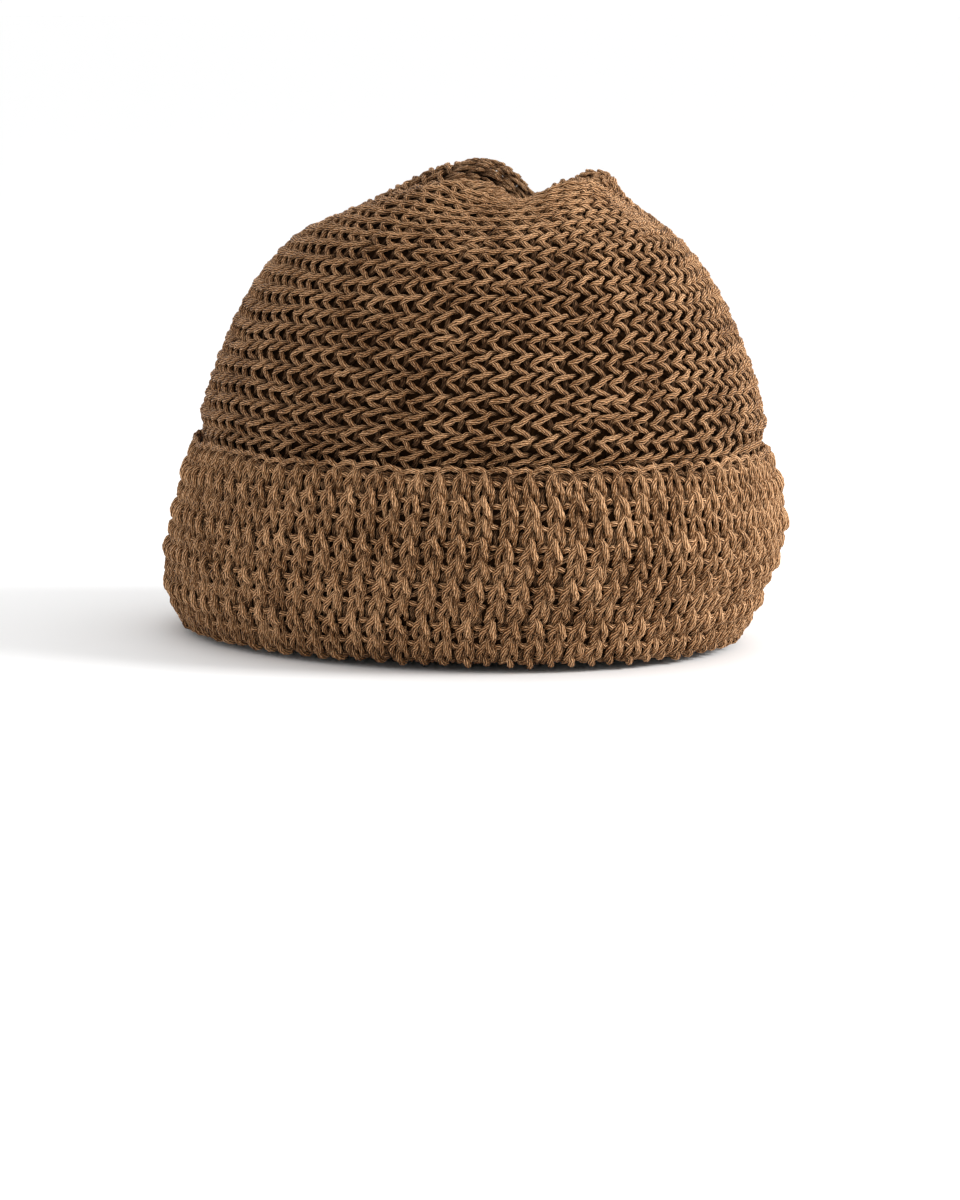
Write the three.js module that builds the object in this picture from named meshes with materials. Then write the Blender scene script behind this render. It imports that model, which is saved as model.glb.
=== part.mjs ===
import * as THREE from "three";

// A ribbed knit cap that stands on its folded rim at Z = 0. Millimetres, +Z up, its front faces -Y.

// Sizes of the crown
const crownLength = 207;
const crownWidth = 168;
const crestHeight = 148;
const crownLean = 40;

// Sizes of the cloth and of the band that is turned up
const knitWall = 3.8;
const layerGap = 0.3;
const cuffHeight = 65;
const knitColumns = 84;
const ribDepth = 0.9;

// Sizes of the gathered top
const lobeRise = 8;
const lobeFoldDepth = 3;
const lobeBulge = 0.16;
const columnsPerPleat = 4;
const pleatDepth = 0.8;

// The crown's outside below the shoulder: height as a share of crestHeight, length and width as
// shares of crownLength and crownWidth, and lean as a share of crownLean
const WALL = [
  { height: 0.0, length: 0.932, width: 0.93, lean: 0.0 },
  { height: 0.12, length: 0.995, width: 0.993, lean: 0.05 },
  { height: 0.24, length: 1.018, width: 1.016, lean: 0.2 },
  { height: 0.34, length: 0.994, width: 0.994, lean: 0.25 },
  { height: 0.44, length: 0.963, width: 0.963, lean: 0.26 },
  { height: 0.49, length: 0.978, width: 0.978, lean: 0.28 },
];

// The crown's outside above the shoulder, over the crest and down to the drawn-in middle, in the same
// shares. lobe and pleat say how much of the lobes and of the small pleats show in each row
const TOP = [
  { height: 0.49, length: 0.978, width: 0.978, lean: 0.28, lobe: 0.0, pleat: 0.0 },
  { height: 0.6, length: 0.928, width: 0.928, lean: 0.3, lobe: 0.0, pleat: 0.0 },
  { height: 0.72, length: 0.846, width: 0.85, lean: 0.31, lobe: 0.0, pleat: 0.0 },
  { height: 0.82, length: 0.752, width: 0.758, lean: 0.33, lobe: 0.05, pleat: 0.0 },
  { height: 0.9, length: 0.63, width: 0.64, lean: 0.37, lobe: 0.15, pleat: 0.1 },
  { height: 0.955, length: 0.46, width: 0.48, lean: 0.5, lobe: 0.45, pleat: 0.45 },
  { height: 0.987, length: 0.33, width: 0.355, lean: 0.72, lobe: 0.85, pleat: 0.9 },
  { height: 0.993, length: 0.215, width: 0.245, lean: 0.9, lobe: 1.0, pleat: 1.0 },
  { height: 0.965, length: 0.12, width: 0.145, lean: 0.98, lobe: 0.6, pleat: 0.9 },
  { height: 0.92, length: 0.065, width: 0.08, lean: 1.0, lobe: 0.2, pleat: 0.6 },
  { height: 0.9, length: 0.025, width: 0.03, lean: 1.0, lobe: 0.0, pleat: 0.2 },
];

// Where the wall bends under the band, and the band with it, as shares of cuffHeight
const lowBend = 0.3;
const highBend = 0.7;

// The four lobes round the middle: their direction in degrees from +X, and their height as a share
// of lobeRise
const LOBES = [
  { turn: 80, rise: 1.0 },
  { turn: 170, rise: 0.35 },
  { turn: 260, rise: 0.45 },
  { turn: 350, rise: 0.6 },
];

// The band's section. out is measured outwards from the crown's outside and up from the floor, both
// in thicknesses of the knit. gaps and cuffs add shares of layerGap and cuffHeight, rib of ribDepth
const CUFF_SECTION = [
  { out: 0.0, gaps: 1, up: -0.35, cuffs: 1.0, rib: 0 },
  { out: 0.0, gaps: 1, up: 0.0, cuffs: highBend, rib: 0 },
  { out: 0.0, gaps: 1, up: 0.0, cuffs: lowBend, rib: 0 },
  { out: 0.0, gaps: 1, up: 1.0, cuffs: 0.0, rib: 0 },
  { out: -1.0, gaps: 0, up: 1.0, cuffs: 0.0, rib: 0 },
  { out: -1.0, gaps: 0, up: 0.35, cuffs: 0.0, rib: 0 },
  { out: -0.7, gaps: 0, up: 0.0, cuffs: 0.0, rib: 0 },
  { out: 0.35, gaps: 1, up: 0.0, cuffs: 0.0, rib: 0 },
  { out: 0.85, gaps: 1, up: 0.35, cuffs: 0.0, rib: 0.5 },
  { out: 1.0, gaps: 1, up: 1.0, cuffs: 0.0, rib: 1 },
  { out: 1.0, gaps: 1, up: 0.0, cuffs: lowBend, rib: 1 },
  { out: 1.0, gaps: 1, up: 0.0, cuffs: 0.5, rib: 1 },
  { out: 1.0, gaps: 1, up: 0.0, cuffs: highBend, rib: 1 },
  { out: 0.95, gaps: 1, up: -0.6, cuffs: 1.0, rib: 1 },
  { out: 0.6, gaps: 1, up: 0.0, cuffs: 1.0, rib: 0.5 },
];

// A function that gives a smooth value of every column of a table at any place in it
function smoothTable(rows, places) {
  const columns = Object.keys(rows[0]);
  const values = rows.flatMap((row) => columns.map((column) => row[column]));
  const spline = new THREE.CubicInterpolant(places, values, columns.length);
  return (place) => {
    const found = spline.evaluate(place);
    return Object.fromEntries(columns.map((column, i) => [column, found[i]]));
  };
}

const pleats = Math.round(knitColumns / columnsPerPleat);

// The directions of the knit columns round the cap
const columnAngles = Array.from({ length: knitColumns }, (unused, i) => (2 * Math.PI * i) / knitColumns);

const wallAt = smoothTable(WALL, WALL.map((row) => row.height));
const topAt = smoothTable(TOP, TOP.map((row, i) => i));

// How far the top rises above its crest height in a direction, as a share of lobeRise. It is below 0
// in the folds between the lobes
function lobeShape(angle) {
  let shape = -lobeFoldDepth / lobeRise;
  for (const lobe of LOBES) {
    const away = Math.abs(wrapAngle(angle - THREE.MathUtils.degToRad(lobe.turn)));
    const share = Math.max(0, 1 - away / (Math.PI / LOBES.length));
    shape += (lobe.rise + lobeFoldDepth / lobeRise) * THREE.MathUtils.smootherstep(share, 0, 1);
  }
  return shape;
}

function wrapAngle(angle) {
  return Math.atan2(Math.sin(angle), Math.cos(angle));
}

// A point outside or inside the crown's outside by out, for one row of shares, in one direction
function crownPoint(row, angle, out = 0) {
  const halfLength = (crownLength / 2) * row.length;
  const halfWidth = (crownWidth / 2) * row.width;
  const normal = new THREE.Vector2(Math.cos(angle) / halfWidth, Math.sin(angle) / halfLength).normalize();
  const lobe = row.lobe ? row.lobe * lobeShape(angle) : 0;
  const bulge = 1 + lobeBulge * lobe;
  return new THREE.Vector3(
    halfWidth * bulge * Math.cos(angle) + normal.x * out,
    halfLength * bulge * Math.sin(angle) + normal.y * out - crownLean * row.lean,
    crestHeight * row.height + lobeRise * lobe,
  );
}

// One ring of points at a height in the wall, out from the crown's outside, one for each knit column
function wallRing(height, out = 0) {
  const row = wallAt(height / crestHeight);
  return columnAngles.map((angle) => crownPoint(row, angle, out).setZ(height));
}

// The same kind of ring at a row of the top's table, or between two, with or without the pleats
function topRing(place, pleated) {
  const row = topAt(place);
  return columnAngles.map((angle) => {
    const fold = pleated ? row.pleat * pleatDepth * Math.cos(pleats * angle) : 0;
    return crownPoint(row, angle, fold);
  });
}

// A ring with a groove between each two of its points
function ribbedRing(ring, depth) {
  const middle = ringMiddle(ring);
  return ring.flatMap((point, i) => {
    const groove = point.clone().lerp(ring[(i + 1) % ring.length], 0.5);
    const inward = middle.clone().sub(groove).normalize();
    return [point, groove.addScaledVector(inward, depth)];
  });
}

// The same rings moved into the cloth by its thickness, square to the surface
function liningRings(rings) {
  return rings.map((ring, i) => {
    const lower = rings[Math.max(0, i - 1)];
    const upper = rings[Math.min(rings.length - 1, i + 1)];
    return ring.map((point, j) => {
      const before = ring[(j + ring.length - 1) % ring.length];
      const after = ring[(j + 1) % ring.length];
      const round = after.clone().sub(before);
      const up = upper[j].clone().sub(lower[j]);
      const outward = round.cross(up).normalize();
      return point.clone().addScaledVector(outward, -knitWall);
    });
  });
}

// A closed solid through rings of points. Its ends close in a point each, or the last ring meets the
// first one
function solidFromRings(rings, poles) {
  const sides = rings[0].length;
  const points = rings.flat();
  const faces = [];
  const strips = poles ? rings.length - 1 : rings.length;
  for (let i = 0; i < strips; i += 1) {
    const next = (i + 1) % rings.length;
    for (let j = 0; j < sides; j += 1) {
      const a = i * sides + j;
      const b = i * sides + ((j + 1) % sides);
      const c = next * sides + ((j + 1) % sides);
      const d = next * sides + j;
      faces.push(a, b, c, a, c, d);
    }
  }
  if (poles) {
    const first = points.push(poles[0]) - 1;
    const last = points.push(poles[1]) - 1;
    const lastRing = (rings.length - 1) * sides;
    for (let j = 0; j < sides; j += 1) {
      faces.push(first, (j + 1) % sides, j);
      faces.push(last, lastRing + j, lastRing + ((j + 1) % sides));
    }
  }
  const geometry = new THREE.BufferGeometry().setFromPoints(points);
  geometry.setIndex(faces);
  geometry.computeVertexNormals();
  return geometry;
}

// The middle of a ring of points
function ringMiddle(ring) {
  const middle = new THREE.Vector3();
  ring.forEach((point) => middle.add(point));
  return middle.divideScalar(ring.length);
}

// The crown: its outside from the lower edge to the drawn-in middle, and its inside back down. Its
// wall bends at the same heights as the band that lies on it
function crown() {
  const lowerEdge = knitWall + layerGap;
  const bends = [lowerEdge, lowBend * cuffHeight, highBend * cuffHeight, cuffHeight];
  const wallRings = bends.map((height) => wallRing(height));
  const rows = TOP.map((row, i) => i);
  const places = [0, ...rows.slice(1).flatMap((place) => [place - 0.5, place])];
  const outside = [...wallRings, ...places.map((place) => topRing(place, true))];
  const inside = liningRings([...wallRings, ...rows.map((place) => topRing(place, false))]);
  inside[0].forEach((point) => {
    point.z = lowerEdge;
  });
  const outsideMiddle = ringMiddle(outside[outside.length - 1]);
  const insideMiddle = ringMiddle(inside[inside.length - 1]);
  return solidFromRings([...inside.reverse(), ...outside], [insideMiddle, outsideMiddle]);
}

// The turned-up band, with a rib and a groove for each column of the knit and a flat fold to stand on
function cuff() {
  const rings = CUFF_SECTION.map((row) => {
    const out = knitWall * row.out + layerGap * row.gaps;
    const height = knitWall * row.up + cuffHeight * row.cuffs;
    return ribbedRing(wallRing(height, out), ribDepth * row.rib);
  });
  return solidFromRings(rings);
}

const knit = { color: 0x6a4e36, roughness: 0.95, metalness: 0 };

function piece(name, geometry) {
  const mesh = new THREE.Mesh(geometry, new THREE.MeshStandardMaterial(knit));
  mesh.name = name;
  return mesh;
}

const group = new THREE.Group();
group.add(piece("crown", crown()));
group.add(piece("cuff", cuff()));

// The origin is on the floor in the middle of the cap's length
const outline = new THREE.Box3().setFromObject(group);
group.position.y = -outline.getCenter(new THREE.Vector3()).y;

export default group;
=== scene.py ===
import math

import bpy
import numpy as np
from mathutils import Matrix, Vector


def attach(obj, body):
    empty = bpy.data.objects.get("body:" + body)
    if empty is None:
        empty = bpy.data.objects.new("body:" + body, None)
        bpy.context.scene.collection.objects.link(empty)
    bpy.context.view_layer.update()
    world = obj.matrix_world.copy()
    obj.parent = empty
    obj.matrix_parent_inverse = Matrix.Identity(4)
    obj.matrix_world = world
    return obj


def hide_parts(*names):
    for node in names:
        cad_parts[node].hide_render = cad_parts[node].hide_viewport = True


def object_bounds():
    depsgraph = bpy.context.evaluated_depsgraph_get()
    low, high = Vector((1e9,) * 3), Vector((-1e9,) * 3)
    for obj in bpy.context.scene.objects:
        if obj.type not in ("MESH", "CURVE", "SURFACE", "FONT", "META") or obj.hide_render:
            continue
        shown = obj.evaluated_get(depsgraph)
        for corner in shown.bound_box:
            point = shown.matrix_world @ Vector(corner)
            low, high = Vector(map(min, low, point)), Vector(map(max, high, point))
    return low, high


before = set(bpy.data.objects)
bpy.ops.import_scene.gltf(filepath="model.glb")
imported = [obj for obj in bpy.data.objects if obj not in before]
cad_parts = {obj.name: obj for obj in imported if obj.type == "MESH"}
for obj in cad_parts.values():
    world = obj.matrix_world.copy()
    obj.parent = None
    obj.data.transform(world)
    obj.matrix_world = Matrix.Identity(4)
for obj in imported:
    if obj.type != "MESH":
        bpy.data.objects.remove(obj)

CAD_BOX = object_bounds()

# Lengths are metres, +Z is up, and the front of the cap faces -Y

# Sizes of the crown and of its gathered top
CROWN_LENGTH = 0.207
CROWN_WIDTH = 0.168
CREST_HEIGHT = 0.148
CROWN_LEAN = 0.040
LOBE_RISE = 0.008
LOBE_FOLD_DEPTH = 0.003
LOBE_BULGE = 0.16
PLEATS = 21
PLEAT_DEPTH = 0.0008

# Sizes of the cloth and of the turned-up band
KNIT_WALL = 0.0038
LAYER_GAP = 0.0003
CUFF_HEIGHT = 0.065
COLUMNS = 84

# The band's section: the height of the sheet that its lowest stitches lie on, the height and the
# flatness of the fold, the two heights that its inner layer passes, and how the face draws in over
# EDGE_REACH and rounds over at the free edge. EDGE_ROUNDING is a share of KNIT_WALL, EDGE_TURN of a
# half turn
FOOT = 0.0028
FOLD_HEIGHT = 0.0042
FOLD_FLATNESS = 1.6
INNER_LAYER_HEIGHTS = (0.018, 0.008)
EDGE_TAPER = 0.0010
EDGE_REACH = 0.014
EDGE_ROUNDING = 0.4
EDGE_TURN = 0.9

# Depths of the closed cloth under the stitches, and its rings of points
CROWN_BASE_DEPTH = 0.0028
CUFF_BASE_DEPTHS = (0.0018, 0.0028)
CROWN_BASE_RINGS = 70
CUFF_BASE_RINGS = 50

# The yarn, whose TWIST is in radians for each metre, and how uneven the stitches are: their shift as a
# share of a cell, and their least and greatest size across, up and out
YARN_RADIUS = 0.00081
CUFF_YARN_RADIUS = 0.00088
YARN_SIDES = 6
YARN_FULLNESS = 1.05
STEPS_BETWEEN_POINTS = 2
TWIST = 380.0
UNEVENNESS = 0.06
LEAST_STITCH = (0.93, 0.92, 0.75)
GREATEST_STITCH = (1.08, 1.09, 1.2)

# Slow sway of the columns and small bends of each strand: waves for a turn round the cap and for a
# metre along the cloth, the scale of the noise, and how far it moves the knit in turns and metres
SWAY_WAVES = (60.0, 110.0)
SWAY_SCALE = 0.35
SWAY_REACH = (0.006, 0.0045)
BEND_WAVES = (170.0, 280.0)
BEND_SCALE = 1.0
BEND_REACH = (0.0036, 0.0028)
DRIFT_DETAIL = 1.0

# The crown's courses. They begin below the cuff's edge, grow lower towards the crest, and drop columns
# where these would be too narrow. Narrow ribs fill the gather
COURSE = 0.0064
STITCH_DEPTH = 0.0018
CROWN_START = 0.011
CREST_REACH = 0.04
CREST_TIGHTENING = 0.25
CROWN_COLUMN_COUNTS = (84, 77, 70, 63, 56, 49, 42)
LEAST_COLUMN_WIDTH = 0.0053
YARN_THINNING = 0.55
GATHER_COLUMNS = 63
GATHER_WIDTH = 0.0042
GATHER_REACH = 0.004
GATHER_END = 0.006
GATHER_RIB_HEIGHT = 0.8
GATHER_STEP = 0.7

# The cuff's courses: the place of the first, and by how much the length up to the edge is more than
# their number, both in courses. Then how far the stitches stand out and sink in near the floor, in
# shares of STITCH_DEPTH
FIRST_COURSE = 1.25
COURSES_BEYOND = 0.8
CUFF_RISE = 0.1
FLOOR_SINK = 1.0
FLOOR_REACH = 0.008
EDGE_COURSE = 0.0042
EDGE_LOOP_HEIGHT = 0.6
EDGE_YARN = 0.9

# The sectors that the knit is cut into, and the seeds of its pieces
CROWN_SECTORS = 3
CUFF_SECTORS = 2
GATHER_SEED = 5
CUFF_SEED = 10
EDGE_SEED = 20

# How finely the surfaces are measured: rings up the crown and the cuff, steps round them, and heights
# for the shift along Y. A guide sheet has SHEET_STEPS for each column and runs on past its seam
CROWN_RINGS = 150
CUFF_RINGS = 120
GIRTH_STEPS = 361
SHIFT_SAMPLES = 200
SHEET_STEPS = 4
SEAM_COLUMNS = 3

# The yarn's colour by tone, and the painted shade deep in the knit and on the cloth underneath
# Its darkest stop is painted shade and its brightest stop a painted highlight; the stops between are the
# yarn's browns
YARN_AND_PAINTED_LIGHT_COLOURS = [
    (0.08, (0.020, 0.0058, 0.0010)),
    (0.38, (0.14, 0.0520, 0.0120)),
    (0.68, (0.34, 0.148, 0.046)),
    (1.0, (0.97, 0.58, 0.31)),
]
DEEP_SHADE_COLOUR = (0.022, 0.0075, 0.0018)
UNDER_SHADE_COLOURS = [
    (0.3, (0.010, 0.0040, 0.0012)),
    (0.75, (0.036, 0.0150, 0.0050)),
]

# What makes the tone: fibres along the strand, painted shade in dark lines between the plies, soft patches,
# and painted light on raised strands
FIBRE_SCALE = 5.6
FIBRE_DETAIL = 2.0
FIBRE_FINENESS = 0.65
FIBRE_STRETCH = 0.16
FIBRE_RANGE = (0.38, 0.64)
FIBRE_SHARE = 0.55
PLIES = 6.0
PLY_SOFTNESS = 0.6
PLY_SHADE_SHARE = 0.5
PATCH_SCALE = 90.0
PATCH_DETAIL = 3.0
PATCH_SHARE = 0.5
PATCH_OFFSET = -0.3
TONE_CONTRAST = 1.6
TONE_OFFSET = -0.325
# Painted light: strands that stand out of the cloth are made lighter
RAISED_LIGHT_RANGE = (-0.1, 0.7)
RAISED_LIGHT_SHARE = 0.14

# Between these places under and on the cloth, the yarn goes from dark painted shade and a dull surface to
# full colour
DEEP_RANGE = (-0.9, 0.0)
DEEP_SHADE_YARN_SHARE = 0.12
DEEP_ROUGHNESS = 0.95
YARN_ROUGHNESS = 0.55
YARN_SPECULAR = 0.2
PLY_BUMP = 0.8
YARN_BUMP = 0.0004

# The closed cloth under the stitches: near-black painted shade with a fine matt grain
UNDER_GRAIN = 900.0
UNDER_DETAIL = 3.0
UNDER_BUMP = 0.0005
UNDER_BUMP_STRENGTH = 0.8
UNDER_ROUGHNESS = 0.9
UNDER_SPECULAR = 0.05

# The camera: the photograph's direction, scale and framing, from a little above the floor
VIEW_AZIMUTH = math.radians(-43)
VIEW_ELEVATION = math.radians(5)
VIEW_DISTANCE = 1.5
SENSOR_WIDTH = 36
PHOTO_WIDTH = 960
PHOTO_HEIGHT = 1200
PIXELS_PER_METRE = 3050
CAP_MIDDLE_PIXEL = (470, 400)

# The studio: a pale floor, a white room that is a little brighter to the right, and one soft light
FLOOR_HALF = 40.0
FLOOR_SHADE = 0.96
FLOOR_ROUGHNESS = 0.7
ROOM_BRIGHTNESS = 1.04
ROOM_SIDE_LIGHT = 0.24
KEY_PLACE = (0.66, -1.15, 0.82)
KEY_AIM = (0, 0, 0.08)
KEY_SIZE = (0.5, 0.5)
KEY_POWER = 20

# The crown's outside below the shoulder: height as a share of CREST_HEIGHT, length and width as shares
# of CROWN_LENGTH and CROWN_WIDTH, lean as a share of CROWN_LEAN
WALL_COLUMNS = ("height", "length", "width", "lean")
WALL = [
    (0.0, 0.932, 0.93, 0.0),
    (0.12, 0.995, 0.993, 0.05),
    (0.24, 1.018, 1.016, 0.2),
    (0.34, 0.994, 0.994, 0.25),
    (0.44, 0.963, 0.963, 0.26),
    (0.49, 0.978, 0.978, 0.28),
]

# Above the shoulder, over the crest and down to the drawn-in middle, with the share of the lobes and
# of the pleats that shows in each row
TOP_COLUMNS = ("height", "length", "width", "lean", "lobe", "pleat")
TOP = [
    (0.49, 0.978, 0.978, 0.28, 0.0, 0.0),
    (0.6, 0.928, 0.928, 0.3, 0.0, 0.0),
    (0.72, 0.846, 0.85, 0.31, 0.0, 0.0),
    (0.82, 0.752, 0.758, 0.33, 0.05, 0.0),
    (0.9, 0.63, 0.64, 0.37, 0.15, 0.1),
    (0.955, 0.46, 0.48, 0.5, 0.45, 0.45),
    (0.987, 0.33, 0.355, 0.72, 0.85, 0.9),
    (0.993, 0.215, 0.245, 0.9, 1.0, 1.0),
    (0.965, 0.12, 0.145, 0.98, 0.6, 0.9),
    (0.92, 0.065, 0.08, 1.0, 0.2, 0.6),
    (0.9, 0.025, 0.03, 1.0, 0.0, 0.2),
]

# The lobes' directions in degrees from +X and their rise as a share of LOBE_RISE
LOBES = [(80, 1.0), (170, 0.35), (260, 0.45), (350, 0.6)]

# Stitches as paths in one cell of the knit: across in columns, up in courses, out of the cloth in
# shares of STITCH_DEPTH, and thickness as a share of the yarn's. On the crown a long slanting stroke,
# its short return, and a strand deep between them
CROWN_STITCH = [
    [
        (0.74, 0.46, -1.0, 0.7),
        (0.46, 0.34, -0.1, 0.95),
        (0.0, 0.12, 0.2, 1.05),
        (-0.40, -0.06, 0.15, 1.0),
        (-0.60, -0.16, -0.35, 0.65),
    ],
    [
        (-0.56, -0.06, -0.5, 0.7),
        (-0.38, -0.24, -0.05, 0.95),
        (-0.08, -0.45, 0.0, 1.0),
        (0.18, -0.60, -0.35, 0.9),
        (0.40, -0.72, -1.1, 0.7),
    ],
    [
        (0.06, 0.34, -1.1, 1.0),
        (0.24, -0.06, -0.65, 1.15),
        (0.02, -0.40, -1.1, 1.0),
    ],
]
# On the cuff two kinds of nested loops that take turns up each column, with their rungs to the next
# column and the strands that lie deep between them
CUFF_STITCH_FULL = [
    [
        (-0.10, 0.52, -0.2, 0.7),
        (-0.02, 0.34, 0.45, 1.0),
        (0.10, 0.0, 0.75, 1.15),
        (0.20, -0.30, 0.5, 1.0),
        (0.24, -0.48, -0.3, 0.65),
    ],
    [
        (0.04, 0.58, -0.6, 0.9),
        (-0.14, 0.24, 0.05, 1.05),
        (-0.27, -0.08, 0.1, 1.1),
        (-0.32, -0.42, 0.0, 1.0),
        (-0.27, -0.92, -0.7, 0.9),
    ],
    [
        (0.18, -0.10, -0.5, 0.9),
        (0.25, -0.52, -0.15, 0.95),
        (0.21, -0.95, -0.6, 0.9),
    ],
    [
        (0.30, 0.02, -0.6, 0.75),
        (0.48, 0.06, 0.15, 1.0),
        (0.66, 0.04, -0.6, 0.75),
    ],
    [
        (0.28, -0.58, -0.9, 0.75),
        (0.48, -0.38, -0.5, 0.9),
        (0.72, -0.18, -0.9, 0.75),
    ],
    [
        (-0.06, 0.20, -0.9, 1.0),
        (-0.04, -0.30, -0.45, 1.15),
        (0.02, -0.80, -0.9, 1.0),
    ],
    [
        (0.42, 0.62, -1.1, 0.8),
        (0.52, 0.34, -0.75, 0.95),
        (0.46, -0.06, -1.1, 0.8),
    ],
]
CUFF_STITCH_FLAT = [
    [
        (-0.06, 0.50, -0.2, 0.65),
        (0.05, 0.18, 0.4, 0.85),
        (0.12, -0.16, 0.4, 0.85),
        (0.15, -0.46, -0.4, 0.6),
    ],
    [
        (0.06, 0.62, -0.6, 0.9),
        (-0.10, 0.26, -0.05, 1.0),
        (-0.25, -0.10, 0.05, 1.05),
        (-0.30, -0.45, -0.05, 1.0),
        (-0.23, -0.92, -0.8, 0.9),
    ],
    [
        (0.10, 0.50, -0.7, 0.85),
        (0.24, 0.0, -0.15, 0.95),
        (0.29, -0.46, -0.1, 0.95),
        (0.21, -0.92, -0.7, 0.85),
    ],
    [
        (0.30, 0.10, -0.6, 0.75),
        (0.48, 0.06, 0.05, 0.95),
        (0.66, 0.0, -0.6, 0.75),
    ],
    [
        (-0.08, 0.10, -0.9, 1.0),
        (-0.04, -0.36, -0.5, 1.1),
        (-0.06, -0.86, -0.9, 1.0),
    ],
    [
        (0.56, -0.10, -1.1, 0.8),
        (0.46, -0.40, -0.7, 0.95),
        (0.54, -0.80, -1.1, 0.8),
    ],
]
# On the cuff's free edge a slanting loop and a strand under it, and in the gather one narrow rib
EDGE_STITCH = [
    [
        (-0.75, -0.42, -0.9, 1.0),
        (-0.42, -0.06, 0.0, 1.0),
        (0.05, 0.22, 0.25, 1.05),
        (0.45, 0.12, 0.1, 1.0),
        (0.62, -0.25, -0.7, 1.0),
    ],
    [
        (-0.60, -0.62, -0.9, 1.0),
        (-0.05, -0.34, -0.45, 1.2),
        (0.50, -0.62, -0.9, 1.0),
    ],
]
GATHER_STITCH = [[
    (-0.30, -0.80, -0.8, 0.8),
    (-0.26, -0.20, 0.0, 1.0),
    (-0.02, 0.42, 0.3, 1.1),
    (0.22, -0.10, 0.2, 1.0),
    (0.28, -0.75, -0.7, 0.8),
]]


def table(rows, names, places, at):
    """Smooth values of a table's columns at some places, as a dictionary of arrays."""
    rows = np.array(rows, float)
    places = np.array(places, float)
    at = np.clip(np.asarray(at, float), places[0], places[-1])
    steps = np.diff(places)
    slopes = np.diff(rows, axis=0) / steps[:, None]
    tangents = np.vstack([slopes[:1], (slopes[1:] + slopes[:-1]) / 2, slopes[-1:]])
    first = np.clip(np.searchsorted(places, at, side="right") - 1, 0, len(steps) - 1)
    step = steps[first][:, None]
    t = ((at - places[first])[:, None]) / step
    low, high = rows[first], rows[first + 1]
    values = ((2 * t**3 - 3 * t**2 + 1) * low + (t**3 - 2 * t**2 + t) * step * tangents[first]
              + (3 * t**2 - 2 * t**3) * high + (t**3 - t**2) * step * tangents[first + 1])
    return {name: values[:, i] for i, name in enumerate(names)}


def lobe_shape(angle):
    """How far the top rises above its crest height in a direction, as a share of LOBE_RISE."""
    fold = LOBE_FOLD_DEPTH / LOBE_RISE
    shape = np.full_like(angle, -fold)
    for turn, rise in LOBES:
        away = angle - math.radians(turn)
        away = np.abs(np.arctan2(np.sin(away), np.cos(away)))
        share = np.clip(1 - away * len(LOBES) / math.pi, 0, 1)
        shape += (rise + fold) * (share**3 * (share * (share * 6 - 15) + 10))
    return shape


def crown_points(rows, angles, out=0.0, heights=None):
    """Points on rings round the crown, a ring for each row and a point for each angle."""
    half_length = CROWN_LENGTH / 2 * rows["length"][:, None]
    half_width = CROWN_WIDTH / 2 * rows["width"][:, None]
    turn = angles[None, :]
    normal_x = np.cos(turn) / half_width
    normal_y = np.sin(turn) / half_length
    normal_length = np.hypot(normal_x, normal_y)
    lobe = rows["lobe"][:, None] * lobe_shape(turn) if "lobe" in rows else 0 * turn
    pleat = rows["pleat"][:, None] * PLEAT_DEPTH * np.cos(PLEATS * turn) if "pleat" in rows else 0
    out = np.asarray(out, float).reshape(-1, 1) + pleat
    bulge = 1 + LOBE_BULGE * lobe
    lean = CROWN_LEAN * rows["lean"][:, None]
    x = half_width * bulge * np.cos(turn) + normal_x / normal_length * out
    y = half_length * bulge * np.sin(turn) + normal_y / normal_length * out - lean
    if heights is None:
        z = CREST_HEIGHT * rows["height"][:, None] + LOBE_RISE * lobe
    else:
        z = np.broadcast_to(np.asarray(heights, float)[:, None], x.shape)
    return np.stack([x, y + FRONT_SHIFT, z + 0 * x], axis=-1)


def wall_rows(heights):
    """The wall's table at some heights."""
    return table(WALL, WALL_COLUMNS, [row[0] for row in WALL], np.asarray(heights) / CREST_HEIGHT)


def centre_shift():
    """How far the cap is moved along Y so that its origin is in the middle of its length."""
    heights = np.linspace(0, CUFF_HEIGHT, SHIFT_SAMPLES)
    rows = wall_rows(heights)
    reach = CROWN_LENGTH / 2 * rows["length"] + LAYER_GAP + KNIT_WALL
    lean = CROWN_LEAN * rows["lean"]
    return ((reach + lean).max() - (reach - lean).max()) / 2


FRONT_SHIFT = centre_shift()


def angles_of(turns):
    """Angles in radians of shares of a turn."""
    return 2 * math.pi * np.asarray(turns, float)


def crown_surface(turns, samples=CROWN_RINGS):
    """The crown's outside from the rim to its middle, with the mean length along it at each ring."""
    shoulder = TOP[0][0] * CREST_HEIGHT
    heights = np.linspace(0, shoulder, samples // 2, endpoint=False)
    places = np.linspace(0, len(TOP) - 1, samples)
    angles = angles_of(turns)
    lower = crown_points(wall_rows(heights), angles, 0.0, heights)
    upper = crown_points(table(TOP, TOP_COLUMNS, range(len(TOP)), places), angles)
    points = np.concatenate([lower, upper])
    return points, arc_length(points)


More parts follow.
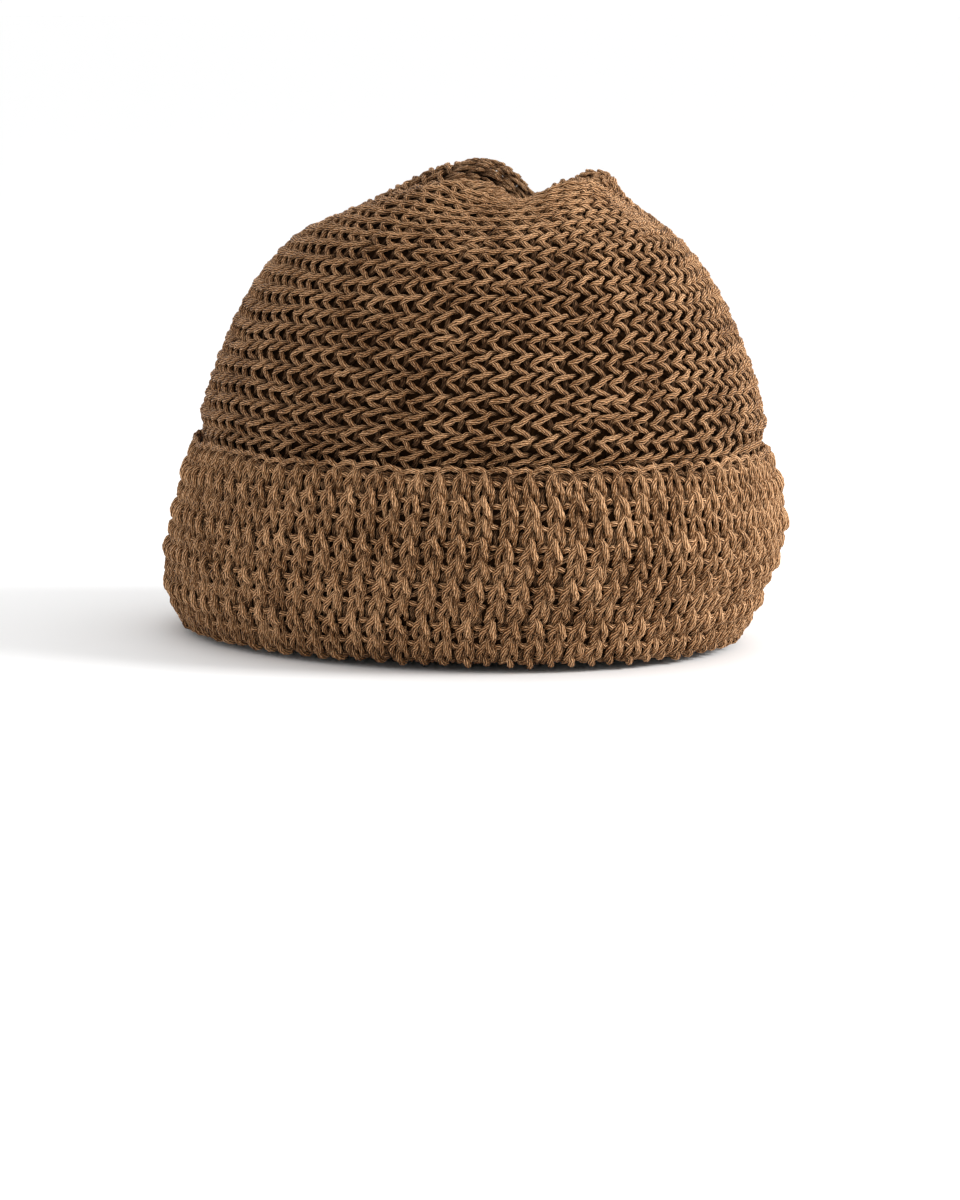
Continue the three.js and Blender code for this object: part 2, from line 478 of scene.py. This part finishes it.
def cuff_section(samples=CUFF_RINGS):
    """The band's outside as (out, height): inside the rim, round the fold, up and over its edge."""
    inner = -KNIT_WALL
    outer = LAYER_GAP + KNIT_WALL
    fold_half = (outer - inner) / 2
    turn = np.linspace(math.pi, 2 * math.pi, samples // 4)
    round_x = np.sign(np.cos(turn)) * np.abs(np.cos(turn)) ** (2 / (FOLD_FLATNESS + 1))
    round_z = np.sin(turn)
    fold = np.stack([inner + fold_half + fold_half * round_x,
                     FOLD_HEIGHT + (FOLD_HEIGHT - FOOT) * round_z], 1)
    top_radius = KNIT_WALL * EDGE_ROUNDING
    rise = np.linspace(FOLD_HEIGHT, CUFF_HEIGHT - top_radius, samples // 2)
    taper = EDGE_TAPER * np.clip((rise - CUFF_HEIGHT + EDGE_REACH) / EDGE_REACH, 0, 1) ** 2
    face = np.stack([outer - taper, rise], 1)
    turn = np.linspace(0, math.pi * EDGE_TURN, samples // 6)
    edge = np.stack([outer - EDGE_TAPER - top_radius + top_radius * np.cos(turn),
                     CUFF_HEIGHT - top_radius + top_radius * np.sin(turn)], 1)
    inside = np.array([[inner, height] for height in INNER_LAYER_HEIGHTS])
    return resampled(np.concatenate([inside, fold, face[1:], edge[1:]]), samples)


def resampled(path, count):
    """The same path with its points evenly spaced."""
    steps = np.concatenate([[0], np.cumsum(np.linalg.norm(np.diff(path, axis=0), axis=1))])
    at = np.linspace(0, steps[-1], count)
    return np.stack([np.interp(at, steps, path[:, i]) for i in range(path.shape[1])], 1)


def cuff_surface(turns, samples=CUFF_RINGS):
    """The band's outside on rings, with the mean length along it at each ring."""
    section = cuff_section(samples)
    points = crown_points(wall_rows(section[:, 1]), angles_of(turns), section[:, 0], section[:, 1])
    return points, arc_length(points)


def arc_length(points):
    """The mean length along the surface from its first ring to each ring."""
    steps = np.linalg.norm(np.diff(points, axis=0), axis=2).mean(axis=1)
    return np.concatenate([[0], np.cumsum(steps)])


def surface_normals(points):
    """Outward normals of a grid of rings of points."""
    around = np.gradient(points, axis=1)
    along = np.gradient(points, axis=0)
    normals = np.cross(around, along)
    return normals / np.linalg.norm(normals, axis=2, keepdims=True)


def new_object(name, data):
    """An object for some data, in the scene."""
    made = bpy.data.objects.new(name, data)
    bpy.context.scene.collection.objects.link(made)
    return made


def cloth_guide(name, points, lengths, turns):
    """A sheet over the surface whose UV map is (turn, length), for the stitches to lie on."""
    rings, sides = points.shape[:2]
    index = np.arange(rings * sides).reshape(rings, sides)
    quads = np.stack([index[:-1, :-1], index[:-1, 1:], index[1:, 1:], index[1:, :-1]], -1)
    quads = quads.reshape(-1, 4)
    mesh = bpy.data.meshes.new(name)
    mesh.from_pydata(points.reshape(-1, 3).tolist(), [], quads.tolist())
    place = np.stack(np.broadcast_arrays(turns[None, :], lengths[:, None]), -1).reshape(-1, 2)
    uv = mesh.uv_layers.new(name="cloth")
    uv.data.foreach_set("uv", place[quads.ravel()].astype(np.float32).ravel())
    out = mesh.attributes.new("out", "FLOAT_VECTOR", "POINT")
    out.data.foreach_set("vector", surface_normals(points).reshape(-1).astype(np.float32))
    return new_object(name, mesh)


def socket(sockets, key):
    """A node's socket by its number, or by its name among those in use."""
    if isinstance(key, int):
        return sockets[key]
    return next(found for found in sockets if found.enabled and key in (found.identifier, found.name))


def node(tree, kind, inputs=None, **settings):
    """A new node with its settings, and its inputs linked or given a value."""
    made = tree.nodes.new(kind)
    for name, value in settings.items():
        setattr(made, name, value)
    for key, value in (inputs or {}).items():
        target = socket(made.inputs, key)
        if isinstance(value, bpy.types.NodeSocket):
            tree.links.new(value, target)
        else:
            target.default_value = value
    return made


def maths(tree, operation, *values):
    """The result of a Math node."""
    return node(tree, "ShaderNodeMath", dict(enumerate(values)), operation=operation).outputs[0]


def vector_maths(tree, operation, *values):
    """The result of a Vector Math node."""
    made = node(tree, "ShaderNodeVectorMath", dict(enumerate(values)), operation=operation)
    return made.outputs["Value" if operation in ("LENGTH", "DOT_PRODUCT") else "Vector"]


def scaled(tree, vector, amount):
    """A vector made longer or shorter."""
    return node(tree, "ShaderNodeVectorMath", {0: vector, "Scale": amount}, operation="SCALE").outputs[0]


def attribute_value(tree, name, data_type):
    """A named attribute's value in Geometry Nodes."""
    made = node(tree, "GeometryNodeInputNamedAttribute", {"Name": name}, data_type=data_type)
    return socket(made.outputs, "Attribute")


def drift(tree, flat, height, waves, scale, reach):
    """A wavering shift across and up, for a place in the flat knit."""
    place = node(tree, "ShaderNodeCombineXYZ", {
        0: maths(tree, "MULTIPLY", flat.outputs[0], waves[0]),
        1: maths(tree, "MULTIPLY", flat.outputs[1], waves[1]),
        2: height}).outputs[0]
    noise = node(tree, "ShaderNodeTexNoise", {"Vector": place, "Scale": scale, "Detail": DRIFT_DETAIL},
                 noise_dimensions="3D")
    centred = vector_maths(tree, "SUBTRACT", noise.outputs["Color"], (0.5, 0.5, 0.5))
    return vector_maths(tree, "MULTIPLY", centred, (*reach, 0.0))


def knit_tree():
    """Geometry Nodes that lay a stitch in every cell of the knit and sweep yarn along it."""
    tree = bpy.data.node_groups.new("lay_stitches", "GeometryNodeTree")
    face = tree.interface
    face.new_socket(name="Cells", in_out="INPUT", socket_type="NodeSocketGeometry")
    face.new_socket(name="Stitch", in_out="INPUT", socket_type="NodeSocketObject")
    face.new_socket(name="Cloth", in_out="INPUT", socket_type="NodeSocketObject")
    face.new_socket(name="Depth", in_out="INPUT", socket_type="NodeSocketFloat")
    face.new_socket(name="Yarn Radius", in_out="INPUT", socket_type="NodeSocketFloat")
    face.new_socket(name="Twist", in_out="INPUT", socket_type="NodeSocketFloat")
    face.new_socket(name="Unevenness", in_out="INPUT", socket_type="NodeSocketFloat")
    face.new_socket(name="Seed", in_out="INPUT", socket_type="NodeSocketInt")
    face.new_socket(name="Yarn", in_out="INPUT", socket_type="NodeSocketMaterial")
    face.new_socket(name="Knit", in_out="OUTPUT", socket_type="NodeSocketGeometry")
    given = tree.nodes.new("NodeGroupInput").outputs

    # One stitch in each cell, its size from the cell, slightly uneven
    cell = attribute_value(tree, "cell", "FLOAT_VECTOR")
    shake = node(tree, "FunctionNodeRandomValue", {
        "Min": (-1.0, -1.0, -1.0), "Max": (1.0, 1.0, 1.0), "Seed": given["Seed"]},
        data_type="FLOAT_VECTOR")
    shaken = vector_maths(tree, "MULTIPLY", socket(shake.outputs, "Value"), cell)
    shift = scaled(tree, shaken, given["Unevenness"])
    moved = node(tree, "GeometryNodeSetPosition", {"Geometry": given["Cells"], "Offset": shift})
    size = node(tree, "FunctionNodeRandomValue", {
        "Min": LEAST_STITCH, "Max": GREATEST_STITCH, "Seed": given["Seed"]},
        data_type="FLOAT_VECTOR")
    scale = vector_maths(tree, "MULTIPLY", cell, socket(size.outputs, "Value"))
    stitch = node(tree, "GeometryNodeObjectInfo", {"Object": given["Stitch"]})
    placed = node(tree, "GeometryNodeInstanceOnPoints", {
        "Points": moved.outputs[0], "Instance": stitch.outputs["Geometry"], "Scale": scale})
    laid = node(tree, "GeometryNodeRealizeInstances", {"Geometry": placed.outputs[0]})
    smooth = node(tree, "GeometryNodeCurveSplineType", {"Curve": laid.outputs[0]},
                  spline_type="CATMULL_ROM")
    fine = node(tree, "GeometryNodeSetSplineResolution", {
        "Geometry": smooth.outputs[0], "Resolution": STEPS_BETWEEN_POINTS})
    path = node(tree, "GeometryNodeResampleCurve", {"Curve": fine.outputs[0]}, mode="EVALUATED")

    # The flat knit is laid on the cloth: across and up give the place, out gives the height over it
    flat = node(tree, "ShaderNodeSeparateXYZ", {0: node(tree, "GeometryNodeInputPosition").outputs[0]})
    swayed = drift(tree, flat, 0.0, SWAY_WAVES, SWAY_SCALE, SWAY_REACH)
    bent = drift(tree, flat, flat.outputs[2], BEND_WAVES, BEND_SCALE, BEND_REACH)
    place = vector_maths(tree, "ADD", node(tree, "ShaderNodeCombineXYZ", {
        0: flat.outputs[0], 1: flat.outputs[1]}).outputs[0], vector_maths(tree, "ADD", swayed, bent))
    cloth = node(tree, "GeometryNodeObjectInfo", {"Object": given["Cloth"]}).outputs["Geometry"]
    cloth_place = attribute_value(tree, "cloth", "FLOAT_VECTOR")

    def on_cloth(value):
        """A value of the guide sheet at this place in the knit."""
        made = node(tree, "GeometryNodeSampleUVSurface", {
            "Mesh": cloth, "Value": value, "Source UV Map": cloth_place, "Sample UV": place},
            data_type="FLOAT_VECTOR")
        return socket(made.outputs, "Value")

    height = maths(tree, "MULTIPLY", flat.outputs[2], given["Depth"])
    ground = on_cloth(node(tree, "GeometryNodeInputPosition").outputs[0])
    outward = vector_maths(tree, "NORMALIZE", on_cloth(attribute_value(tree, "out", "FLOAT_VECTOR")))
    risen = scaled(tree, outward, height)
    deep = node(tree, "GeometryNodeStoreNamedAttribute", {
        "Geometry": path.outputs[0], "Name": "deep", "Value": flat.outputs[2]},
        data_type="FLOAT", domain="POINT")
    curved = node(tree, "GeometryNodeSetPosition", {
        "Geometry": deep.outputs[0], "Position": vector_maths(tree, "ADD", ground, risen)})

    # The yarn's section turns along the path as its plies do
    along = node(tree, "GeometryNodeSplineParameter").outputs["Length"]
    tilt = maths(tree, "MULTIPLY", along, given["Twist"])
    tilted = node(tree, "GeometryNodeSetCurveTilt", {"Curve": curved.outputs[0], "Tilt": tilt})
    kept = node(tree, "GeometryNodeCaptureAttribute", {"Geometry": tilted.outputs[0]})
    kept.capture_items.new("FLOAT", "along")
    tree.links.new(along, kept.inputs["along"])
    ring = node(tree, "GeometryNodeCurvePrimitiveCircle", {
        "Resolution": YARN_SIDES, "Radius": YARN_FULLNESS}, mode="RADIUS")
    section = node(tree, "GeometryNodeCaptureAttribute", {"Geometry": ring.outputs["Curve"]})
    section.capture_items.new("VECTOR", "section")
    tree.links.new(node(tree, "GeometryNodeInputPosition").outputs[0], section.inputs["section"])
    thick = maths(tree, "MULTIPLY", attribute_value(tree, "thick", "FLOAT"), given["Yarn Radius"])
    thick = maths(tree, "MULTIPLY", thick, node(tree, "GeometryNodeInputRadius").outputs[0])
    yarn = node(tree, "GeometryNodeCurveToMesh", {
        "Curve": kept.outputs["Geometry"], "Profile Curve": section.outputs["Geometry"],
        "Scale": thick, "Fill Caps": True})
    across = node(tree, "ShaderNodeSeparateXYZ", {0: section.outputs["section"]})
    millimetres = maths(tree, "MULTIPLY", kept.outputs["along"], 1000.0)
    strand = node(tree, "ShaderNodeCombineXYZ", {
        0: across.outputs[0], 1: across.outputs[1], 2: millimetres}).outputs[0]
    marked = node(tree, "GeometryNodeStoreNamedAttribute", {
        "Geometry": yarn.outputs[0], "Name": "strand", "Value": strand},
        data_type="FLOAT_VECTOR", domain="POINT")
    whole = node(tree, "GeometryNodeRealizeInstances", {"Geometry": marked.outputs[0]})
    soft = node(tree, "GeometryNodeSetShadeSmooth", {"Geometry": whole.outputs[0]})
    finished = node(tree, "GeometryNodeSetMaterial", {
        "Geometry": soft.outputs[0], "Material": given["Yarn"]})
    result = tree.nodes.new("NodeGroupOutput")
    tree.links.new(finished.outputs[0], result.inputs["Knit"])
    return tree


def stitch_object(name, paths):
    """A curve object with a spline for each strand of one stitch."""
    data = bpy.data.curves.new(name, "CURVE")
    data.dimensions = "3D"
    for path in paths:
        spline = data.splines.new("POLY")
        spline.points.add(len(path) - 1)
        for point, place in zip(spline.points, path):
            point.co = (*place[:3], 1.0)
            point.radius = place[3]
    return new_object(name, data)


def stitch_cells(name, cells):
    """A mesh of loose points, one for each cell: turn, length, width, height, yarn share, rise."""
    cells = np.array(cells, np.float32)
    mesh = bpy.data.meshes.new(name)
    mesh.vertices.add(len(cells))
    places = np.zeros((len(cells), 3), np.float32)
    places[:, :2] = cells[:, :2]
    places[:, 2] = cells[:, 5]
    mesh.vertices.foreach_set("co", places.ravel())
    sizes = np.ones((len(cells), 3), np.float32)
    sizes[:, :2] = cells[:, 2:4]
    mesh.attributes.new("cell", "FLOAT_VECTOR", "POINT").data.foreach_set("vector", sizes.ravel())
    mesh.attributes.new("thick", "FLOAT", "POINT").data.foreach_set("value", cells[:, 4].copy())
    return new_object(name, mesh)


def knitted(name, cells, stitch, cloth, material, seed, tree, radius=YARN_RADIUS):
    """A plain mesh of the stitches in some cells."""
    base = stitch_cells(name + "_cells", cells)
    modifier = base.modifiers.new("stitches", "NODES")
    modifier.node_group = tree
    values = {
        "Stitch": stitch, "Cloth": cloth, "Depth": STITCH_DEPTH, "Yarn Radius": radius,
        "Twist": TWIST, "Unevenness": UNEVENNESS, "Seed": seed, "Yarn": material,
    }
    for item in tree.interface.items_tree:
        if item.item_type == "SOCKET" and item.name in values:
            modifier[item.identifier] = values[item.name]
    graph = bpy.context.evaluated_depsgraph_get()
    mesh = bpy.data.meshes.new_from_object(base.evaluated_get(graph))
    mesh.name = name
    bpy.data.objects.remove(base)
    return new_object(name, mesh)


def new_material(name):
    """A material with its node tree and its Principled shader."""
    material = bpy.data.materials.new(name)
    material.use_nodes = True
    return material, material.node_tree, material.node_tree.nodes["Principled BSDF"]


def mapped(tree, value, span, low, high):
    """A value that goes from low to high over a span, and stays there outside it."""
    return node(tree, "ShaderNodeMapRange", {
        "Value": value, "From Min": span[0], "From Max": span[1], "To Min": low, "To Max": high}).outputs[0]


def colour_ramp(tree, value, stops):
    """A colour that goes through some (place, colour) stops."""
    ramp = node(tree, "ShaderNodeValToRGB", {"Fac": value})
    elements = ramp.color_ramp.elements
    elements[0].position = stops[0][0]
    elements[1].position = stops[-1][0]
    for place, _ in stops[1:-1]:
        elements.new(place)
    for element, (_, colour) in zip(elements, stops):
        element.color = (*colour, 1)
    return ramp.outputs["Color"]


def yarn_material(name):
    """Plied cotton: plies and fibres run along the strand; painted shade between them and deep in the knit.
    """
    material, tree, shader = new_material(name)
    strand = node(tree, "ShaderNodeAttribute", attribute_name="strand")
    parts = node(tree, "ShaderNodeSeparateXYZ", {0: strand.outputs["Vector"]})
    deep = node(tree, "ShaderNodeAttribute", attribute_name="deep").outputs["Fac"]

    stretched = node(tree, "ShaderNodeCombineXYZ", {
        0: parts.outputs[0], 1: parts.outputs[1],
        2: maths(tree, "MULTIPLY", parts.outputs[2], FIBRE_STRETCH)}).outputs[0]
    fibre = node(tree, "ShaderNodeTexNoise", {
        "Vector": stretched, "Scale": FIBRE_SCALE, "Detail": FIBRE_DETAIL, "Roughness": FIBRE_FINENESS},
        noise_dimensions="3D").outputs["Fac"]
    angle = maths(tree, "ARCTAN2", parts.outputs[1], parts.outputs[0])
    wave = maths(tree, "COSINE", maths(tree, "MULTIPLY", angle, PLIES))
    ply = maths(tree, "POWER", maths(tree, "MULTIPLY_ADD", wave, 0.5, 0.5), PLY_SOFTNESS)
    patch = node(tree, "ShaderNodeTexNoise", {
        "Vector": node(tree, "ShaderNodeTexCoord").outputs["Object"],
        "Scale": PATCH_SCALE, "Detail": PATCH_DETAIL}).outputs["Fac"]

    fibre_tone = maths(tree, "MULTIPLY", mapped(tree, fibre, FIBRE_RANGE, 0.0, 1.0), FIBRE_SHARE)
    # Painted shade: the tone drops in the grooves between the plies
    tone = maths(tree, "ADD", fibre_tone, maths(tree, "MULTIPLY", ply, PLY_SHADE_SHARE))
    tone = maths(tree, "ADD", tone, maths(tree, "MULTIPLY_ADD", patch, PATCH_SHARE, PATCH_OFFSET))
    tone = maths(tree, "MULTIPLY_ADD", tone, TONE_CONTRAST, TONE_OFFSET)
    # Painted light: raised strands get a lighter tone
    tone = maths(tree, "ADD", tone, mapped(tree, deep, RAISED_LIGHT_RANGE, 0.0, RAISED_LIGHT_SHARE))
    # Painted shade: where the yarn lies deep in the knit, its colour is mixed most of the way to a
    # near-black brown
    colour = node(tree, "ShaderNodeMix", {
        "Factor": mapped(tree, deep, DEEP_RANGE, DEEP_SHADE_YARN_SHARE, 1.0),
        "A": (*DEEP_SHADE_COLOUR, 1), "B": colour_ramp(tree, tone, YARN_AND_PAINTED_LIGHT_COLOURS)}, data_type="RGBA")
    tree.links.new(socket(colour.outputs, "Result"), shader.inputs["Base Color"])
    rough = mapped(tree, deep, DEEP_RANGE, DEEP_ROUGHNESS, YARN_ROUGHNESS)
    tree.links.new(rough, shader.inputs["Roughness"])
    bump = node(tree, "ShaderNodeBump", {
        "Height": maths(tree, "ADD", fibre, maths(tree, "MULTIPLY", ply, PLY_BUMP)),
        "Strength": 1.0, "Distance": YARN_BUMP})
    tree.links.new(bump.outputs[0], shader.inputs["Normal"])
    shader.inputs["Specular IOR Level"].default_value = YARN_SPECULAR
    return material


def shade_cloth_material(name):
    """The closed knit seen between the stitches and inside the cap, painted near black as shade."""
    material, tree, shader = new_material(name)
    grain = node(tree, "ShaderNodeTexNoise", {
        "Vector": node(tree, "ShaderNodeTexCoord").outputs["Object"],
        "Scale": UNDER_GRAIN, "Detail": UNDER_DETAIL}).outputs["Fac"]
    # Painted shade: the cloth is near black, far darker than the yarn, to stand for the shade between the
    # stitches
    tree.links.new(colour_ramp(tree, grain, UNDER_SHADE_COLOURS), shader.inputs["Base Color"])
    bump = node(tree, "ShaderNodeBump", {
        "Height": grain, "Strength": UNDER_BUMP_STRENGTH, "Distance": UNDER_BUMP})
    tree.links.new(bump.outputs[0], shader.inputs["Normal"])
    shader.inputs["Roughness"].default_value = UNDER_ROUGHNESS
    shader.inputs["Specular IOR Level"].default_value = UNDER_SPECULAR
    return material


def closed_shell(name, rings, poles, material):
    """A closed mesh through rings of points, with a point at each end or its ends joined."""
    count, sides = rings.shape[:2]
    index = np.arange(count * sides).reshape(count, sides)
    following = np.roll(index, -1, axis=0) if poles is None else index[1:]
    lower = index if poles is None else index[:-1]
    quads = np.stack([lower, np.roll(lower, -1, axis=1), np.roll(following, -1, axis=1), following], -1)
    faces = quads.reshape(-1, 4).tolist()
    points = rings.reshape(-1, 3).tolist()
    if poles is not None:
        first = len(points)
        last = first + 1
        points += [tuple(poles[0]), tuple(poles[1])]
        faces += [(first, int(b), int(a)) for a, b in zip(index[0], np.roll(index[0], -1))]
        faces += [(last, int(a), int(b)) for a, b in zip(index[-1], np.roll(index[-1], -1))]
    mesh = bpy.data.meshes.new(name)
    mesh.from_pydata(points, [], faces)
    mesh.shade_smooth()
    mesh.materials.append(material)
    return new_object(name, mesh)


def shell_normals(points):
    """Outward normals of closed rings of points."""
    around = np.roll(points, -1, axis=1) - np.roll(points, 1, axis=1)
    normals = np.cross(around, np.gradient(points, axis=0))
    return normals / np.linalg.norm(normals, axis=2, keepdims=True)


def crown_base(material):
    """The crown's closed cloth: its outside just under the stitches, and its inside."""
    turns = np.arange(COLUMNS) / COLUMNS
    points, _ = crown_surface(turns, CROWN_BASE_RINGS)
    normals = shell_normals(points)
    keep = points[:, 0, 2] > KNIT_WALL + LAYER_GAP
    outer = (points - CROWN_BASE_DEPTH * normals)[keep]
    inner = (points - KNIT_WALL * normals)[keep]
    rings = np.concatenate([inner[::-1], outer])
    poles = (inner[-1].mean(axis=0), outer[-1].mean(axis=0))
    return closed_shell("crown_base", rings, poles, material)


def cuff_base(material):
    """The band's closed cloth, a thin shell under its stitches."""
    turns = np.arange(COLUMNS) / COLUMNS
    points, _ = cuff_surface(turns, CUFF_BASE_RINGS)
    normals = shell_normals(points)
    outer, inner = (points - depth * normals for depth in CUFF_BASE_DEPTHS)
    rings = np.concatenate([outer, inner[::-1]])
    return closed_shell("cuff_base", rings, None, material)


def crown_cells():
    """Cells of the crown's knit, course by course from under the cuff's edge, and of the gather's."""
    points, lengths = crown_surface(np.linspace(0, 1, GIRTH_STEPS))
    girths = np.linalg.norm(np.diff(points, axis=1), axis=2).sum(axis=1)
    crest = int(np.argmax(points[:, :, 2].mean(axis=1)))
    at = np.interp(CUFF_HEIGHT - CROWN_START, points[:crest, 0, 2], lengths[:crest])
    cells = []
    while at < lengths[crest] - GATHER_REACH:
        girth = np.interp(at, lengths, girths)
        near_crest = np.clip((at - lengths[crest] + CREST_REACH) / CREST_REACH, 0, 1)
        fitting = [count for count in CROWN_COLUMN_COUNTS if girth / count >= LEAST_COLUMN_WIDTH]
        count = fitting[0] if fitting else CROWN_COLUMN_COUNTS[-1]
        tall = COURSE * (1 - CREST_TIGHTENING * near_crest)
        thick = min(1.0, (girth / count / LEAST_COLUMN_WIDTH) ** YARN_THINNING)
        cells += [((i + 0.5) / count, at, 1 / count, tall, thick, 0.0) for i in range(count)]
        at += tall
    gathered = []
    wide = 1 / GATHER_COLUMNS
    tall = COURSE * GATHER_RIB_HEIGHT
    while at < lengths[-1] - GATHER_END:
        girth = np.interp(at, lengths, girths)
        thick = min(1.0, girth / GATHER_COLUMNS / GATHER_WIDTH)
        gathered += [((i + 0.5) / GATHER_COLUMNS, at, wide, tall, thick, 0.0) for i in range(GATHER_COLUMNS)]
        at += COURSE * GATHER_STEP
    return cells, gathered


def split(cells, parts):
    """Cells in equal sectors round the cap."""
    return [[cell for cell in cells if int(cell[0] * parts) % parts == part] for part in range(parts)]


def cuff_courses():
    """The lengths along the band's section of its courses and of its edge, and a course's height."""
    _, lengths = cuff_surface(np.linspace(0, 1, GIRTH_STEPS))
    edge = lengths[-1] - EDGE_COURSE
    rows = round(edge / COURSE) - 1
    tall = edge / (rows + COURSES_BEYOND)
    return [(row + FIRST_COURSE) * tall for row in range(rows)], edge, tall


def cuff_cells(parity):
    """Cells of every second course of the band, low where the band lies on the floor."""
    courses, _, tall = cuff_courses()
    points, lengths = cuff_surface(np.linspace(0, 1, GIRTH_STEPS))
    heights = points[:, :, 2].mean(axis=1)
    cells = []
    for at in courses[parity::2]:
        lift = np.clip(np.interp(at, lengths, heights) / FLOOR_REACH, 0, 1)
        rise = CUFF_RISE - FLOOR_SINK * (1 - lift)
        cells += [(i / COLUMNS, at, 1 / COLUMNS, tall, 1.0, rise) for i in range(COLUMNS)]
    return cells


def edge_cells():
    """Slanting loops along the band's free edge."""
    _, edge, tall = cuff_courses()
    high = tall * EDGE_LOOP_HEIGHT
    return [((i + 0.5) / COLUMNS, edge, 1 / COLUMNS, high, EDGE_YARN, 0.0) for i in range(COLUMNS)]


def finish_piece(piece, node_name):
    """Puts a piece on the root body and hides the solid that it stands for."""
    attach(piece, "root")
    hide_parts(node_name)


def build_cap():
    """All the pieces of the cap: the knit in sectors, the gather, the edge and the cloth underneath."""
    tree = knit_tree()
    yarn = yarn_material("brown_cotton_yarn")
    under = shade_cloth_material("knit_shade")
    margin = SEAM_COLUMNS / COLUMNS
    sheet = np.linspace(-margin, 1 + margin, (COLUMNS + 2 * SEAM_COLUMNS) * SHEET_STEPS + 1)
    crown_cloth = cloth_guide("crown_cloth", *crown_surface(sheet), sheet)
    cuff_cloth = cloth_guide("cuff_cloth", *cuff_surface(sheet), sheet)
    crown_stitch = stitch_object("crown_stitch", CROWN_STITCH)
    gather_stitch = stitch_object("gather_stitch", GATHER_STITCH)
    full_stitch = stitch_object("full_stitch", CUFF_STITCH_FULL)
    flat_stitch = stitch_object("flat_stitch", CUFF_STITCH_FLAT)
    edge_stitch = stitch_object("edge_stitch", EDGE_STITCH)

    plain_cells, gathered_cells = crown_cells()
    for part, sector in enumerate(split(plain_cells, CROWN_SECTORS)):
        piece = knitted(f"crown_knit_{part + 1}", sector, crown_stitch, crown_cloth, yarn, part, tree)
        finish_piece(piece, "crown")
    gather = knitted("crown_gather", gathered_cells, gather_stitch, crown_cloth, yarn, GATHER_SEED, tree)
    finish_piece(gather, "crown")
    edge = knitted("cuff_edge", edge_cells(), edge_stitch, cuff_cloth, yarn, EDGE_SEED, tree,
                   CUFF_YARN_RADIUS)
    finish_piece(edge, "cuff")
    for parity, stitch in enumerate((full_stitch, flat_stitch)):
        for part, sector in enumerate(split(cuff_cells(parity), CUFF_SECTORS)):
            number = CUFF_SECTORS * parity + part + 1
            piece = knitted(f"cuff_knit_{number}", sector, stitch, cuff_cloth, yarn, CUFF_SEED + number,
                            tree, CUFF_YARN_RADIUS)
            finish_piece(piece, "cuff")
    finish_piece(crown_base(under), "crown")
    finish_piece(cuff_base(under), "cuff")
    stitches = (crown_stitch, gather_stitch, full_stitch, flat_stitch, edge_stitch)
    for helper in (crown_cloth, cuff_cloth, *stitches):
        bpy.data.objects.remove(helper)


def camera():
    """The one camera: upright, without a shift, and with the cap where the photograph has it."""
    back = Vector((math.sin(VIEW_AZIMUTH) * math.cos(VIEW_ELEVATION),
                   -math.cos(VIEW_AZIMUTH) * math.cos(VIEW_ELEVATION), math.sin(VIEW_ELEVATION)))
    right = Vector((math.cos(VIEW_AZIMUTH), math.sin(VIEW_AZIMUTH), 0))
    up = back.cross(right)
    low, high = (Vector(corner) for corner in CAD_BOX)
    middle = (low + high) / 2
    across = (PHOTO_WIDTH / 2 - CAP_MIDDLE_PIXEL[0]) / PIXELS_PER_METRE
    down = (PHOTO_HEIGHT / 2 - CAP_MIDDLE_PIXEL[1]) / PIXELS_PER_METRE
    target = middle + right * across - up * down
    data = bpy.data.cameras.new("camera")
    data.sensor_width = SENSOR_WIDTH
    data.lens = PIXELS_PER_METRE * VIEW_DISTANCE * data.sensor_width / PHOTO_HEIGHT
    made = new_object("camera", data)
    made.location = middle + back * VIEW_DISTANCE
    made.rotation_euler = (target - made.location).to_track_quat("-Z", "Y").to_euler()
    bpy.context.scene.camera = made


def key_light():
    """The one light: soft, in front and to the right of the camera's view."""
    data = bpy.data.lights.new("key", "AREA")
    data.shape = "RECTANGLE"
    data.size, data.size_y = KEY_SIZE
    data.energy = KEY_POWER
    made = new_object("key", data)
    made.location = KEY_PLACE
    made.rotation_euler = (Vector(KEY_AIM) - Vector(KEY_PLACE)).to_track_quat("-Z", "Y").to_euler()


def pale_floor():
    """The floor that the cap stands on, wide enough to reach the horizon."""
    material, _, shader = new_material("pale_floor")
    shader.inputs["Base Color"].default_value = (FLOOR_SHADE, FLOOR_SHADE, FLOOR_SHADE, 1)
    shader.inputs["Roughness"].default_value = FLOOR_ROUGHNESS
    corners = [(x * FLOOR_HALF, y * FLOOR_HALF, 0) for x, y in ((-1, -1), (1, -1), (1, 1), (-1, 1))]
    floor = bpy.data.meshes.new("floor")
    floor.from_pydata(corners, [], [(0, 1, 2, 3)])
    floor.materials.append(material)
    new_object("floor", floor)


def studio():
    """The floor, the white room and the light."""
    pale_floor()
    world = bpy.data.worlds.new("studio")
    world.use_nodes = True
    tree = world.node_tree
    room = tree.nodes["Background"]
    direction = node(tree, "ShaderNodeTexCoord").outputs["Generated"]
    right = (math.cos(VIEW_AZIMUTH), math.sin(VIEW_AZIMUTH), 0.0)
    aside = vector_maths(tree, "DOT_PRODUCT", direction, right)
    light = maths(tree, "MULTIPLY_ADD", aside, ROOM_SIDE_LIGHT, ROOM_BRIGHTNESS)
    tree.links.new(light, room.inputs["Strength"])
    room.inputs["Color"].default_value = (1, 1, 1, 1)
    bpy.context.scene.world = world
    bpy.context.scene.view_settings.view_transform = "Standard"
    key_light()


build_cap()
camera()
studio()
